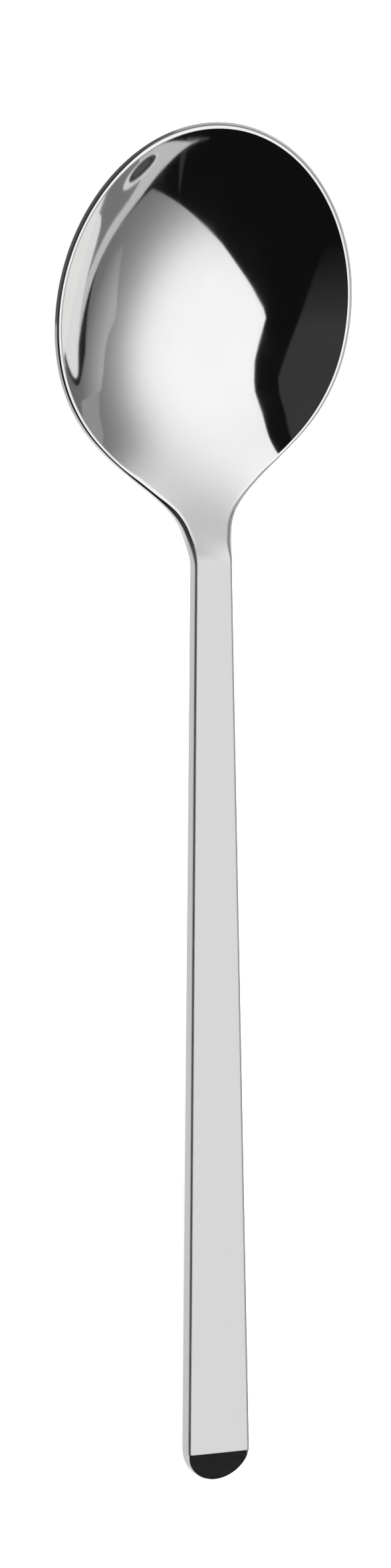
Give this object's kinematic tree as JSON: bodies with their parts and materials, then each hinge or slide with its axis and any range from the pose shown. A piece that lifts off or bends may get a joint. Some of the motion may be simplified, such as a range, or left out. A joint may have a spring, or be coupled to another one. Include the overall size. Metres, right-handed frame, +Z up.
{
  "type": "dessert spoon",
  "caption": "Dessert spoon with an egg-shaped polished bowl on a slim satin bar handle that widens to a round, bevelled end.",
  "frame": {"origin": "on the table that the spoon lies on, under the middle of its length, in its plane of symmetry", "axes": "+X along the spoon from the handle's end towards the bowl's tip, +Y across it, +Z up from the table, with the hollow of the bowl facing up"},
  "size_m": [0.1802, 0.0406, 0.0134],
  "materials": {
    "mirror_steel": "stainless steel, polished to a mirror",
    "satin_steel": "stainless steel with a fine satin grain, and a polished bevel at the tip",
    "braze_silver": "silver filler metal, dressed flush"
  },
  "bodies": {
    "root": {"bowl": "mirror_steel", "handle": "satin_steel", "braze_seam": "braze_silver"}
  },
  "joints": []
}
